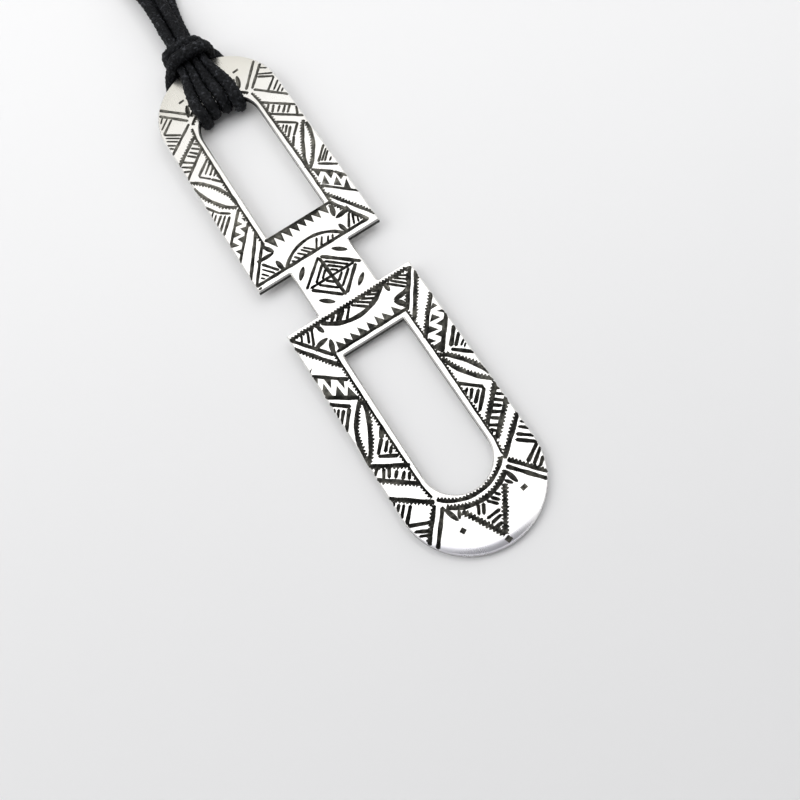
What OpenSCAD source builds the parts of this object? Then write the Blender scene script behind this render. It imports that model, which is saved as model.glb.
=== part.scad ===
// Engraved silver pendant on a doubled black cord.
// Two equal openwork arches, end to end, are sawn from one silver sheet and
// joined by a narrow neck. Two waxed cords go round the rim of the upper arch in
// one lark's head hitch, and their four strands run on as a loop for the neck.
// The pendant lies face up, with its upper rim on the strands that pass under it.
// Millimetres. X across the pendant, Y along it towards the hitch, Z up from the
// surface that it lies on, below the middle of the neck between the arches.

/* [Silver plate] */
// Width of the plate across an arch
plate_w = 20; // [16:0.5:26]
// Length of the plate from tip to tip
plate_len = 90.2; // [75:0.1:110]
// Thickness of the sheet
plate_t = 1; // [0.8:0.1:1.6]
// Width of the window inside each arch
window_w = 9.64; // [8:0.02:12]
// Distance from the middle to the near side of a window
window_start = 11.15; // [9:0.05:14]
// Distance from the middle to the tip of a window
window_tip = 36.72; // [30:0.02:40]
// Width of the neck that joins the arches
neck_w = 9.66; // [7:0.02:12]
// Length of the neck between the shoulders
neck_len = 8.1; // [6:0.1:12]
// Width of the filed bevel on every edge
edge_bevel = 0.2; // [0.1:0.05:0.3]

/* [Waxed cord] */
// Diameter of each cord
cord_d = 1.9; // [1.5:0.1:2.2]
// Distance between the two strands of a pair round the neck
lane_pitch = 2; // [1.9:0.05:3]

/* [Back knot] */
// Height of the knot that closes the loop
knot_d = 5.7; // [5:0.1:8]
// Length of the knot between its end faces
knot_len = 12; // [8:0.5:16]
// Length of the cord ends that stick out of the knot
knot_tail = 12; // [8:1:20]

/* [Hidden] */

silver = [0.86, 0.85, 0.82];
waxed_black = [0.07, 0.07, 0.08];

plate_r = plate_w / 2;
arch_y = plate_len / 2 - plate_r;
window_r = window_w / 2;
window_arch_y = window_tip - window_r;
shoulder_y = neck_len / 2;
// the upper rim lies on the strands below it, so the plate leans by this angle
plate_lean = 1.45;
arc_fn = 96;
past = 0.5;             // how far a cutter passes the face that it cuts
small_gap = 0.05;       // air between two pieces that meet

tube_sides = 8;
pinch = 0.69;           // width over full width where four strands are squeezed abreast

// Each row of a hitch route is one place on the cord: x, y, z, the strand's sideways
// width there over its full width and, where it is pressed flat on the window's edge, its
// thickness over its full thickness. The cord whose bight lies nearer to
// the pendant: down the front from its left tail, round the window's edge, out
// behind the rim, over the front as the bight, behind again and up the front.
near_hitch = [
    [-0.6, 54, 2.9, 1], [-0.68, 51.5, 2.9, 1], [-0.8, 49.8, 2.97, 0.97],
    [-1.05, 48.5, 3.12, 0.86], [-1.4, 47.3, 3.45, 0.74], [-1.7, 46.3, 3.85, pinch],
    [-1.8, 45.2, 4.22, pinch], [-1.82, 43.6, 4.25, pinch], [-2.16, 41.6, 4.2, 0.86],
    [-2.68, 39.2, 4.12, 0.96], [-2.96, 37.2, 4.07, 1.04], [-2.97, 36.3, 4.02, 1.02],
    [-2.84, 35.22, 3.76, 0.97, 0.73], [-2.75, 34.74, 2.95, 0.92, 0.57],
    [-2.76, 34.8, 2.1, 0.93, 0.58], [-2.78, 35.17, 1.36, 0.93, 0.7], [-2.92, 36.2, 1.1, 0.95],
    [-3.1, 37.5, 0.97, 1], [-3.65, 39.5, 0.96, 1], [-4.2, 42, 0.96, 1], [-4.45, 44, 0.98, 1],
    [-4.35, 45.15, 1.6, 1], [-3.8, 45.48, 2.8, 0.88], [-3.22, 45.42, 4.1, 0.76],
    [-2.7, 45.25, 5.2, 0.86], [-1.8, 45.08, 6.02, 1, 1.1], [0, 45.05, 6.22, 1, 1.12],
    [2, 45.05, 6.2, 1, 1.12], [3.12, 45.16, 5.66, 0.9, 1.05], [3.61, 45.36, 4.5, 0.82],
    [3.46, 45.5, 3.2, 0.88], [2.86, 45.52, 2.05, 0.97], [2.28, 45.3, 1.2, 1],
    [2.05, 44.2, 0.96, 1], [1.9, 42.3, 0.96, 1], [1.5, 40, 0.96, 1], [1.18, 38.2, 0.97, 1],
    [1.08, 37, 1.08, 1], [1.06, 36.2, 1.4, 1, 0.9], [1.06, 35.68, 2.1, 1, 0.8],
    [1.06, 35.66, 3, 1, 0.8], [1.05, 36.06, 3.76, 0.99, 0.87], [1.04, 37, 4.09, 1],
    [0.98, 38.4, 4.1, 1.01], [0.91, 40, 4.15, 0.92], [0.86, 41.7, 4.2, 0.81],
    [0.82, 43.6, 4.25, pinch], [0.82, 45, 4.25, pinch], [0.84, 45.92, 3.55, pinch, 0.86],
    [0.86, 46.42, 2.6, pinch, 0.88], [0.92, 47.15, 1.75, 0.72], [1.08, 48.1, 1.22, 0.8],
    [1.46, 49.5, 1, 0.97], [1.8, 51.5, 0.96, 1], [2.05, 54, 0.96, 1]];

// the cord whose bight lies farther up, told the same way from its left tail
far_hitch = [
    [0.1, 54, 0.96, 1], [-0.1, 51.5, 0.96, 1], [-0.42, 49.5, 1, 0.97],
    [-0.46, 48.1, 1.22, 0.8], [-0.42, 47.15, 1.75, 0.72], [-0.42, 46.42, 2.6, pinch, 0.86],
    [-0.42, 45.92, 3.55, pinch, 0.82], [-0.5, 45, 4.25, pinch], [-0.5, 43.6, 4.25, pinch],
    [-0.65, 41.7, 4.2, 0.81], [-0.82, 40, 4.15, 0.93], [-0.94, 38.4, 4.1, 1.01],
    [-0.96, 37, 4.09, 1.01], [-0.96, 36.04, 3.77, 1.01, 0.84], [-0.96, 35.72, 3, 1.02, 0.76],
    [-0.96, 35.74, 2.1, 1.02, 0.76], [-0.96, 36.2, 1.4, 1.02, 0.88], [-1, 37, 1.08, 1],
    [-1.1, 38.2, 0.97, 1], [-1.35, 40, 0.96, 1], [-1.6, 42.3, 0.96, 1], [-1.8, 44.3, 0.96, 1],
    [-2.05, 45.95, 0.99, 1], [-2.55, 46.95, 1.6, 0.95], [-2.84, 47.34, 2.7, 0.78],
    [-2.89, 47.38, 3.95, 0.72], [-2.57, 47.4, 5, 0.82], [-1.5, 47.36, 5.52, 1],
    [-0.4, 47.34, 5.72, 1], [0.9, 47.36, 5.7, 1], [1.8, 47.42, 5.42, 1],
    [2.6, 47.5, 4.85, 0.9], [3.12, 47.58, 3.95, 0.76], [3.3, 47.6, 2.9, 0.8],
    [3.78, 47.3, 1.8, 0.95], [4.27, 46.5, 1.05, 1], [4.42, 45, 0.96, 1], [4.2, 43, 0.96, 1],
    [3.9, 41.3, 0.96, 1], [3.6, 39.4, 0.96, 1], [3.25, 37.4, 0.96, 1], [3.06, 35.9, 1.08, 1],
    [2.98, 35, 1.4, 1.02, 0.76], [2.95, 34.44, 2.1, 1.02, 0.62],
    [2.95, 34.42, 2.95, 1.04, 0.62], [3, 34.9, 3.68, 1.06, 0.76], [3.06, 35.9, 4.05, 1.09],
    [3.04, 37.2, 4.12, 1.1], [2.84, 39.2, 4.16, 1.03], [2.44, 41.6, 4.2, 0.86],
    [2.14, 43.6, 4.25, pinch], [2.13, 45.2, 4.22, pinch], [2.1, 46.3, 3.85, pinch],
    [1.88, 47.3, 3.45, 0.74], [1.6, 48.5, 3.12, 0.86], [1.35, 49.8, 2.97, 0.93],
    [1.25, 51.5, 2.9, 1], [1.4, 54, 2.9, 1]];

// The four strands above the hitch, until each pair lies flat side by side: x, y, z.
near_left_start = [[-0.6, 54, 2.9], [-0.4, 58, 2.9], [-0.4, 62, 2.85], [-0.8, 67, 2.6],
                   [-1.6, 73, 1.5]];
far_left_start = [[0.1, 54, 0.96], [0.3, 58, 0.95], [0.5, 62, 0.95], [0.55, 67, 0.95],
                  [0.4, 73, 0.95]];
far_right_start = [[1.4, 54, 2.9], [1.6, 58, 2.85], [2, 62, 2.6], [2.7, 67, 1.9],
                   [3.7, 73, 0.96]];
near_right_start = [[2.05, 54, 0.96], [2.5, 58, 0.95], [3.3, 62, 0.95], [4.5, 67, 0.95],
                    [5.8, 73, 0.95]];

// Half of the loop round the neck: distance from the loop's own middle line, y.
loop_mid_x = 2.4;
half_loop = [[3.6, 80], [5.5, 92], [9.5, 104], [15.5, 117], [24, 131], [34, 146], [45, 162],
             [56, 180], [65, 200], [71.5, 221], [75, 243], [74.5, 265], [70, 286], [61, 304],
             [48, 318], [33, 327], [20, 331.8], [12, 333], [knot_len / 2, 333]];
knot_y = 333;
// the strands rise to the knot over the last rows of the half loop
loop_end_z = [1.5, knot_d / 2, knot_d / 2];

// one unit vector along v
function unit(v) = v / norm(v);

// the direction of travel at point i of a route
function heading(p, i) =
    unit(p[min(i + 1, len(p) - 1)] - p[max(i - 1, 0)]);

// a sideways vector carried along the route with the least turning, one for each point
function sideways(p) =
    [for (i = 0, v = unit(cross(heading(p, 0), [0, 0, 1])); i < len(p);
          i = i + 1,
          v = i < len(p) ? unit(v - (v * heading(p, i)) * heading(p, i)) : v) v];

function places(route) = [for (r = route) [r[0], r[1], r[2]]];

// a cord: rings of tube_sides corners at the points of its route, skinned and capped
module cord_along(route) {
    p = places(route);
    side = sideways(p);
    n = tube_sides;
    rings = [for (i = [0 : len(p) - 1], k = [0 : n - 1])
        let (u = side[i], w = cross(heading(p, i), u), a = 360 * (k + 0.5) / n,
             o = cord_d / 2 * (cos(a) * u + sin(a) * w),
             s = len(route[i]) > 3 ? route[i][3] : 1, t = len(route[i]) > 4 ? route[i][4] : 1)
        p[i] + [o[0] * s, o[1] * t, o[2]]];
    skin = [for (i = [0 : len(p) - 2], k = [0 : n - 1])
        let (a = i * n + k, b = i * n + (k + 1) % n) [a, b, b + n, a + n]];
    first_cap = [[for (k = [n - 1 : -1 : 0]) k]];
    last_cap = [[for (k = [0 : n - 1]) (len(p) - 1) * n + k]];
    color(waxed_black) polyhedron(rings, concat(skin, first_cap, last_cap));
}

// the half loop as one lane: its points moved sideways by off, on the side given by dir
function lane(dir, off) =
    [for (i = [0 : len(half_loop) - 1])
        let (a = half_loop[max(i - 1, 0)],
             b = half_loop[min(i + 1, len(half_loop) - 1)],
             t = (b - a) / norm(b - a),
             back = len(half_loop) - 1 - i,
             z = back < 3 ? loop_end_z[2 - back] : cord_d / 2,
             u = half_loop[i][0] + off * t[1],
             v = half_loop[i][1] - off * t[0])
        [loop_mid_x + dir * u, v, z]];

// the plate's outline and windows, as flat shapes
module half_outline() {
    translate([-plate_r, shoulder_y]) square([plate_w, arch_y - shoulder_y]);
    translate([0, arch_y]) circle(plate_r, $fn = arc_fn);
}

module window_outline() {
    translate([-window_r, window_start]) square([window_w, window_arch_y - window_start]);
    translate([0, window_arch_y]) circle(window_r, $fn = arc_fn);
}

// The cutter that takes the corner off an edge of the upper face runs along the edge
// with the metal on its left. run_in and run_out lengthen it past the corners that it passes.
module straight_bevel(from, to, run_in = 0, run_out = 0) {
    d = to - from;
    translate([from[0], from[1], 0]) rotate([0, 0, atan2(d[1], d[0])])
        translate([-run_in, 0, 0]) rotate([90, 0, 90])
            linear_extrude(norm(d) + run_in + run_out)
                polygon([[edge_bevel + past, past], [-past, past], [-past, -edge_bevel - past]]);
}

// the same round an arch of radius r, with the metal inside it (metal = -1) or outside (1)
module arch_bevel(r, metal) {
    rotate_extrude(angle = 180, $fn = arc_fn) polygon([
        [r + metal * (edge_bevel + past), past], [r - metal * past, past],
        [r - metal * past, -edge_bevel - past]]);
}

// every edge of the upper half of the upper face
module face_bevels() {
    for (m = [0, 1]) mirror([m, 0, 0]) {
        // the neck's side, the shoulder, the leg's outer side and the leg's window side
        straight_bevel([neck_w / 2, 0], [neck_w / 2, shoulder_y]);
        straight_bevel([neck_w / 2, shoulder_y], [plate_r, shoulder_y], 0, past);
        straight_bevel([plate_r, shoulder_y], [plate_r, arch_y], past, 0);
        straight_bevel([window_r, window_arch_y], [window_r, window_start]);
    }
    straight_bevel([window_r, window_start], [-window_r, window_start]);
    translate([0, arch_y, 0]) arch_bevel(plate_r, -1);
    translate([0, window_arch_y, 0]) arch_bevel(window_r, 1);
}

// one sheet with both arches, bevelled on both faces, leaning on the strands under its rim
module silver_plate() {
    color(silver) translate([0, -plate_len / 2, 0]) rotate([plate_lean, 0, 0])
        translate([0, plate_len / 2, 0]) difference() {
            linear_extrude(plate_t) {
                square([neck_w, neck_len + past], center = true);
                for (m = [0, 1]) mirror([0, m]) difference() {
                    half_outline();
                    window_outline();
                }
            }
            for (m = [0, 1]) mirror([0, m, 0]) {
                translate([0, 0, plate_t]) face_bevels();
                mirror([0, 0, 1]) face_bevels();
            }
        }
}

// the near cord's share of the hitch
module near_cord_hitch() cord_along(near_hitch);

// the far cord's share of the hitch
module far_cord_hitch() cord_along(far_hitch);

// a strand from the hitch to the back knot, with a little air at each end
module strand(start, side_lane) {
    all = concat(start, side_lane);
    first = all[0] + small_gap * unit(all[1] - all[0]);
    cord_along(concat([first], [for (i = [1 : len(all) - 1]) all[i]]));
}

module near_cord_left() strand(near_left_start, lane(-1, lane_pitch / 2));

module near_cord_right() strand(near_right_start, lane(1, lane_pitch / 2));

module far_cord_left() strand(far_left_start, lane(-1, -lane_pitch / 2));

module far_cord_right() strand(far_right_start, lane(1, -lane_pitch / 2));

// a plain barrel knot across the top of the loop, as wide as its turns need to go round
// two strands side by side, with two cord ends lying out from it
module back_knot() {
    color(waxed_black) {
        translate([loop_mid_x, knot_y, knot_d / 2]) rotate([90, 0, 90])
            linear_extrude(knot_len - 2 * small_gap, center = true) {
                square([lane_pitch, knot_d], center = true);
                for (s = [-1, 1]) translate([s * lane_pitch / 2, 0]) circle(d = knot_d, $fn = 48);
            }
        for (s = [-1, 1])
            translate([loop_mid_x + s * (knot_len / 2 - cord_d), knot_y, cord_d / 2])
                rotate([-90, 0, 0])
                    cylinder(d = cord_d, h = (lane_pitch + knot_d) / 2 + knot_tail, $fn = 32);
    }
}

silver_plate();
near_cord_hitch();
far_cord_hitch();
near_cord_left();
near_cord_right();
far_cord_left();
far_cord_right();
back_knot();
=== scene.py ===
# Engraved silver pendant on a doubled black cord, laid face up on a pale table.
import math
import random
from collections import namedtuple

import bmesh
import bpy
import numpy as np
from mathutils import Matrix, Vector


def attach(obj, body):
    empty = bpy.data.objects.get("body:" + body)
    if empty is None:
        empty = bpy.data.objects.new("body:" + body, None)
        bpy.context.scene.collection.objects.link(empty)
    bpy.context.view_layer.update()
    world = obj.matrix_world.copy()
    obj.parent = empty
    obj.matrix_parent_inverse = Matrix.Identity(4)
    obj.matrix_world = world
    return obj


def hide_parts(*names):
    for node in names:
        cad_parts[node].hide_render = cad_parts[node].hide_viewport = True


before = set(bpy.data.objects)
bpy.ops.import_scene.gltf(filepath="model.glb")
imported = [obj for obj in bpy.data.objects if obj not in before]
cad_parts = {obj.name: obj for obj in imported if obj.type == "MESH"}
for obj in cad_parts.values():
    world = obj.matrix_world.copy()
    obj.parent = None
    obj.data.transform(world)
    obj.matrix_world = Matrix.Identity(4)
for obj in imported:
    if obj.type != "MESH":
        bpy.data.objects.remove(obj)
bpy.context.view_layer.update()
bpy.ops.object.select_all(action="DESELECT")

# The camera
# A close view from above the pendant's left, turned so that the pendant runs across
# the picture from its upper left to its lower right.
CAMERA_PLACE = (-0.010111, -0.072565, 0.123068)
CAMERA_TURN = (21.4477, 9.1510, -31.2151)  # degrees
FOCAL_LENGTH, SENSOR = 45, 36  # mm
NEAREST = 0.002         # m, nearer than the hitch ever comes

bpy.ops.object.camera_add(location=CAMERA_PLACE,
                          rotation=[math.radians(a) for a in CAMERA_TURN])
camera = bpy.context.object
camera.name = "camera"
camera.data.lens = FOCAL_LENGTH
camera.data.sensor_width = SENSOR
camera.data.clip_start = NEAREST
bpy.context.scene.camera = camera

# The two cords
# Two black waxed cotton cords, 1.9 mm thick under tension and braided from fine
# yarns. Each goes once round the rim of the upper arch in the shared lark's head
# hitch, and its two ends run on round the neck to the knot at the back.
MM = 0.001
CORD_R = 0.95           # mm, to the crest of the yarns
BRAID_YARNS = 8         # yarns that lean each way
BRAID_PITCH = 1.05      # mm along the cord for one crossing
YARN_RELIEF = 0.18      # mm from the crest of a yarn to the hollow between
YARN_ROUND = 0.8        # how round a yarn is across, 1 for a plain cosine
YARN_DIP = 0.55         # share of its height that a yarn loses where it goes under
FLUFF = 0.04            # mm that loose fibres lift the skin here and there
FLUFF_LEAST, FLUFF_MOST = -1.5, 2
FLUFF_SEED = 5
SWELLING = 0.015        # share of the radius that a hand-tensioned cord swells by
SWELLING_RATE = 1.3     # radians a millimetre along it
SQUARE_SIDEWAYS, SQUARE_FLAT = 1.5, 2.5  # how soon a squeeze makes the section squarer
SQUARE_POWER = 1.6      # added to a circle's power of 2 where it is squarest
SQUARE_SHARE = 0.85
TUBE_SIDES = 32
HITCH_STEP = 0.2        # mm between rings in the hitch
LOOP_STEP = 0.34        # mm between rings round the neck
HITCH_END_Y = 75
CURVE_STEPS = 60        # straight steps between two rows, before they are evened out
PINCH = 0.69            # sideways squeeze where four strands lie abreast

# Each row is one place on a cord in millimetres: x, y, z, how much its section is
# squeezed in x, and the same in y where that isn't 1.
NEAR_HITCH = [
    (-0.6, 54, 2.9, 1), (-0.68, 51.5, 2.9, 1), (-0.8, 49.8, 2.97, 0.97),
    (-1.05, 48.5, 3.12, 0.86), (-1.4, 47.3, 3.45, 0.74), (-1.7, 46.3, 3.85, PINCH),
    (-1.8, 45.2, 4.22, PINCH), (-1.82, 43.6, 4.25, PINCH), (-2.16, 41.6, 4.2, 0.86),
    (-2.68, 39.2, 4.12, 0.96), (-2.96, 37.2, 4.07, 1.04), (-2.97, 36.3, 4.02, 1.02),
    (-2.84, 35.22, 3.76, 0.97, 0.73), (-2.75, 34.74, 2.95, 0.92, 0.57),
    (-2.76, 34.8, 2.1, 0.93, 0.58), (-2.78, 35.17, 1.36, 0.93, 0.7), (-2.92, 36.2, 1.1, 0.95),
    (-3.1, 37.5, 0.97, 1), (-3.65, 39.5, 0.96, 1), (-4.2, 42, 0.96, 1), (-4.45, 44, 0.98, 1),
    (-4.35, 45.15, 1.6, 1), (-3.8, 45.48, 2.8, 0.88), (-3.22, 45.42, 4.1, 0.76),
    (-2.7, 45.25, 5.2, 0.86), (-1.8, 45.08, 6.02, 1, 1.1), (0, 45.05, 6.22, 1, 1.12),
    (2, 45.05, 6.2, 1, 1.12), (3.12, 45.16, 5.66, 0.9, 1.05), (3.61, 45.36, 4.5, 0.82),
    (3.46, 45.5, 3.2, 0.88), (2.86, 45.52, 2.05, 0.97), (2.28, 45.3, 1.2, 1),
    (2.05, 44.2, 0.96, 1), (1.9, 42.3, 0.96, 1), (1.5, 40, 0.96, 1), (1.18, 38.2, 0.97, 1),
    (1.08, 37, 1.08, 1), (1.06, 36.2, 1.4, 1, 0.9), (1.06, 35.68, 2.1, 1, 0.8),
    (1.06, 35.66, 3, 1, 0.8), (1.05, 36.06, 3.76, 0.99, 0.87), (1.04, 37, 4.09, 1),
    (0.98, 38.4, 4.1, 1.01), (0.91, 40, 4.15, 0.92), (0.86, 41.7, 4.2, 0.81),
    (0.82, 43.6, 4.25, PINCH), (0.82, 45, 4.25, PINCH), (0.84, 45.92, 3.55, PINCH, 0.86),
    (0.86, 46.42, 2.6, PINCH, 0.88), (0.92, 47.15, 1.75, 0.72), (1.08, 48.1, 1.22, 0.8),
    (1.46, 49.5, 1, 0.97), (1.8, 51.5, 0.96, 1), (2.05, 54, 0.96, 1)]
FAR_HITCH = [
    (0.1, 54, 0.96, 1), (-0.1, 51.5, 0.96, 1), (-0.42, 49.5, 1, 0.97), (-0.46, 48.1, 1.22, 0.8),
    (-0.42, 47.15, 1.75, 0.72), (-0.42, 46.42, 2.6, PINCH, 0.86),
    (-0.42, 45.92, 3.55, PINCH, 0.82), (-0.5, 45, 4.25, PINCH), (-0.5, 43.6, 4.25, PINCH),
    (-0.65, 41.7, 4.2, 0.81), (-0.82, 40, 4.15, 0.93), (-0.94, 38.4, 4.1, 1.01),
    (-0.96, 37, 4.09, 1.01), (-0.96, 36.04, 3.77, 1.01, 0.84), (-0.96, 35.72, 3, 1.02, 0.76),
    (-0.96, 35.74, 2.1, 1.02, 0.76), (-0.96, 36.2, 1.4, 1.02, 0.88), (-1, 37, 1.08, 1),
    (-1.1, 38.2, 0.97, 1), (-1.35, 40, 0.96, 1), (-1.6, 42.3, 0.96, 1), (-1.8, 44.3, 0.96, 1),
    (-2.05, 45.95, 0.99, 1), (-2.55, 46.95, 1.6, 0.95), (-2.84, 47.34, 2.7, 0.78),
    (-2.89, 47.38, 3.95, 0.72), (-2.57, 47.4, 5, 0.82), (-1.5, 47.36, 5.52, 1),
    (-0.4, 47.34, 5.72, 1), (0.9, 47.36, 5.7, 1), (1.8, 47.42, 5.42, 1), (2.6, 47.5, 4.85, 0.9),
    (3.12, 47.58, 3.95, 0.76), (3.3, 47.6, 2.9, 0.8), (3.78, 47.3, 1.8, 0.95),
    (4.27, 46.5, 1.05, 1), (4.42, 45, 0.96, 1), (4.2, 43, 0.96, 1), (3.9, 41.3, 0.96, 1),
    (3.6, 39.4, 0.96, 1), (3.25, 37.4, 0.96, 1), (3.06, 35.9, 1.08, 1),
    (2.98, 35, 1.4, 1.02, 0.76), (2.95, 34.44, 2.1, 1.02, 0.62), (2.95, 34.42, 2.95, 1.04, 0.62),
    (3, 34.9, 3.68, 1.06, 0.76), (3.06, 35.9, 4.05, 1.09), (3.04, 37.2, 4.12, 1.1),
    (2.84, 39.2, 4.16, 1.03), (2.44, 41.6, 4.2, 0.86), (2.14, 43.6, 4.25, PINCH),
    (2.13, 45.2, 4.22, PINCH), (2.1, 46.3, 3.85, PINCH), (1.88, 47.3, 3.45, 0.74),
    (1.6, 48.5, 3.12, 0.86), (1.35, 49.8, 2.97, 0.93), (1.25, 51.5, 2.9, 1), (1.4, 54, 2.9, 1)]
# The strands above the hitch, until each pair lies flat side by side.
NEAR_LEFT_START = [(-0.4, 58, 2.9), (-0.4, 62, 2.85), (-0.8, 67, 2.6), (-1.6, 73, 1.5)]
FAR_LEFT_START = [(0.3, 58, 0.95), (0.5, 62, 0.95), (0.55, 67, 0.95), (0.4, 73, 0.95)]
FAR_RIGHT_START = [(1.6, 58, 2.85), (2, 62, 2.6), (2.7, 67, 1.9), (3.7, 73, 0.96)]
NEAR_RIGHT_START = [(2.5, 58, 0.95), (3.3, 62, 0.95), (4.5, 67, 0.95), (5.8, 73, 0.95)]
# Half of the loop round the neck: distance from the loop's middle line, y.
LOOP_MID_X = 2.4
HALF_LOOP = [(3.6, 80), (5.5, 92), (9.5, 104), (15.5, 117), (24, 131), (34, 146), (45, 162),
             (56, 180), (65, 200), (71.5, 221), (75, 243), (74.5, 265), (70, 286), (61, 304),
             (48, 318), (33, 327), (20, 331.8), (12, 333), (6, 333)]
LOOP_END_Z = (1.5, 2.85, 2.85)  # the strands rise to the knot over the last rows
LANE_OFFSET = 1.0       # mm from the middle of a pair to one strand
INTO_KNOT = 3.5         # mm that a strand goes on inside the knot


def lane(direction, offset):
    """One strand of a pair round half of the neck loop."""
    rows = []
    last = len(HALF_LOOP) - 1
    heights = [CORD_R] * (len(HALF_LOOP) - len(LOOP_END_Z)) + list(LOOP_END_Z)
    for i, (away, along) in enumerate(HALF_LOOP):
        a, b = HALF_LOOP[max(i - 1, 0)], HALF_LOOP[min(i + 1, last)]
        du, dv = b[0] - a[0], b[1] - a[1]
        size = math.hypot(du, dv)
        rows.append((LOOP_MID_X + direction * (away + offset * dv / size),
                     along - offset * du / size, heights[i]))
    x, y, z = rows[-1]
    return rows + [(x - direction * INTO_KNOT, y, z)]


def lengths_along(points):
    """How far along the points each one lies, from 0."""
    steps = np.linalg.norm(np.diff(points, axis=0), axis=1)
    return np.concatenate([[0], np.cumsum(steps)])


def smooth_route(rows, step_at):
    """Distances and places along a smooth curve through the rows, each place with its
    squeezes. step_at gives the distance to the next place from the y of this one."""
    rows = np.array([(*r, 1, 1)[:5] for r in rows], dtype=float)
    ends = np.vstack([2 * rows[0] - rows[1], rows, 2 * rows[-1] - rows[-2]])
    dense = []
    for p0, p1, p2, p3 in zip(ends, ends[1:], ends[2:], ends[3:]):
        gaps = [np.linalg.norm(q[:3] - p[:3]) ** 0.5
                for p, q in ((p0, p1), (p1, p2), (p2, p3))]
        slope1 = ((p1 - p0) / gaps[0] - (p2 - p0) / (gaps[0] + gaps[1])
                  + (p2 - p1) / gaps[1]) * gaps[1]
        slope2 = ((p2 - p1) / gaps[1] - (p3 - p1) / (gaps[1] + gaps[2])
                  + (p3 - p2) / gaps[2]) * gaps[1]
        for t in np.linspace(0, 1, CURVE_STEPS, endpoint=False):
            dense.append((2 * t**3 - 3 * t**2 + 1) * p1 + (t**3 - 2 * t**2 + t) * slope1
                         + (3 * t**2 - 2 * t**3) * p2 + (t**3 - t**2) * slope2)
    dense = np.array(dense + [rows[-1]])
    length = lengths_along(dense[:, :3])
    stops = [0.0]
    while stops[-1] < length[-1]:
        here = np.interp(stops[-1], length, dense[:, 1])
        stops.append(stops[-1] + step_at(here))
    stops = np.array(stops[:-1]) * length[-1] / stops[-2]
    return stops, np.column_stack([np.interp(stops, length, dense[:, k]) for k in range(5)])


def closed_shape(name, vertices, faces):
    """A new object of these faces, turned to point outwards."""
    mesh = bpy.data.meshes.new(name)
    mesh.from_pydata(vertices, [], faces)
    work = bmesh.new()
    work.from_mesh(mesh)
    bmesh.ops.recalc_face_normals(work, faces=work.faces)
    work.to_mesh(mesh)
    work.free()
    shape = bpy.data.objects.new(name, mesh)
    bpy.context.scene.collection.objects.link(shape)
    return shape


def braided_tube(name, rows, step_at):
    """A closed tube along the rows whose skin has the over and under of the braid."""
    along, route = smooth_route(rows, step_at)
    points, squeeze = route[:, :3], route[:, 3:]
    heading = np.gradient(points, axis=0)
    heading /= np.linalg.norm(heading, axis=1)[:, None]
    side = np.cross(heading[0], (0, 0, 1))
    sides = []
    for ahead in heading:
        side = side - side.dot(ahead) * ahead
        side = side / np.linalg.norm(side)
        sides.append(side)
    sides = np.array(sides)
    other = np.cross(sides, heading)
    angle = np.arange(TUBE_SIDES) * 2 * math.pi / TUBE_SIDES
    round_turns = angle * BRAID_YARNS / (2 * math.pi)
    # half of the yarns lean one way and half the other, and they cross everywhere
    left = round_turns[None, :] + along[:, None] / BRAID_PITCH
    right = round_turns[None, :] - along[:, None] / BRAID_PITCH
    in_left, in_right = left - np.floor(left) - 0.5, right - np.floor(right) - 0.5
    left_on_top = (np.floor(left) + np.floor(right)) % 2 == 0
    over = np.where(left_on_top, in_left, in_right)
    run = np.where(left_on_top, in_right, in_left)
    crest = np.cos(math.pi * over) ** YARN_ROUND * (
        (1 - YARN_DIP) + YARN_DIP * np.cos(math.pi * run))
    fluff = np.random.default_rng(FLUFF_SEED).standard_normal(crest.shape)
    radius = (CORD_R - YARN_RELIEF * (1 - crest)
              + FLUFF * np.clip(fluff, FLUFF_LEAST, FLUFF_MOST))
    swell = np.sin(along * SWELLING_RATE)[:, None] * np.sin(angle * 2 + 1)[None, :]
    radius = radius * (1 + SWELLING * swell)
    # where a strand is pressed against others or on an edge its section is squarer
    pressed = np.clip((1 - squeeze[:, :1]) * SQUARE_SIDEWAYS
                      + (1 - squeeze[:, 1:]) * SQUARE_FLAT, 0, 1)
    power = 2 + SQUARE_POWER * pressed
    square = (np.abs(np.cos(angle)) ** power + np.abs(np.sin(angle)) ** power) ** (-1 / power)
    radius = radius * (1 + (square - 1) * SQUARE_SHARE)
    offset = (radius * np.cos(angle))[:, :, None] * sides[:, None, :]
    offset = offset + (radius * np.sin(angle))[:, :, None] * other[:, None, :]
    offset[:, :, :2] *= squeeze[:, None, :]
    skin = points[:, None, :] + offset
    skin[:, :, 2] = np.maximum(skin[:, :, 2], 0.0)
    vertices = np.vstack([skin.reshape(-1, 3), points[:1], points[-1:]]) * MM
    faces = []
    last_ring = (len(points) - 1) * TUBE_SIDES
    for ring in range(0, last_ring, TUBE_SIDES):
        following = ring + TUBE_SIDES
        for k in range(TUBE_SIDES):
            after = (k + 1) % TUBE_SIDES
            faces.append((ring + k, ring + after, following + after, following + k))
    first_end, last_end = last_ring + TUBE_SIDES, last_ring + TUBE_SIDES + 1
    for k in range(TUBE_SIDES):
        after = (k + 1) % TUBE_SIDES
        faces.append((first_end, after, k))
        faces.append((last_end, last_ring + k, last_ring + after))
    piece = closed_shape(name, vertices.tolist(), faces)
    height = piece.data.attributes.new("yarn_height", "FLOAT", "POINT")
    height.data.foreach_set("value", np.concatenate([crest.ravel(), [0, 0]]))
    piece.data.polygons.foreach_set("use_smooth", [True] * len(faces))
    piece.data.materials.append(cotton.material)
    return piece


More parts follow.
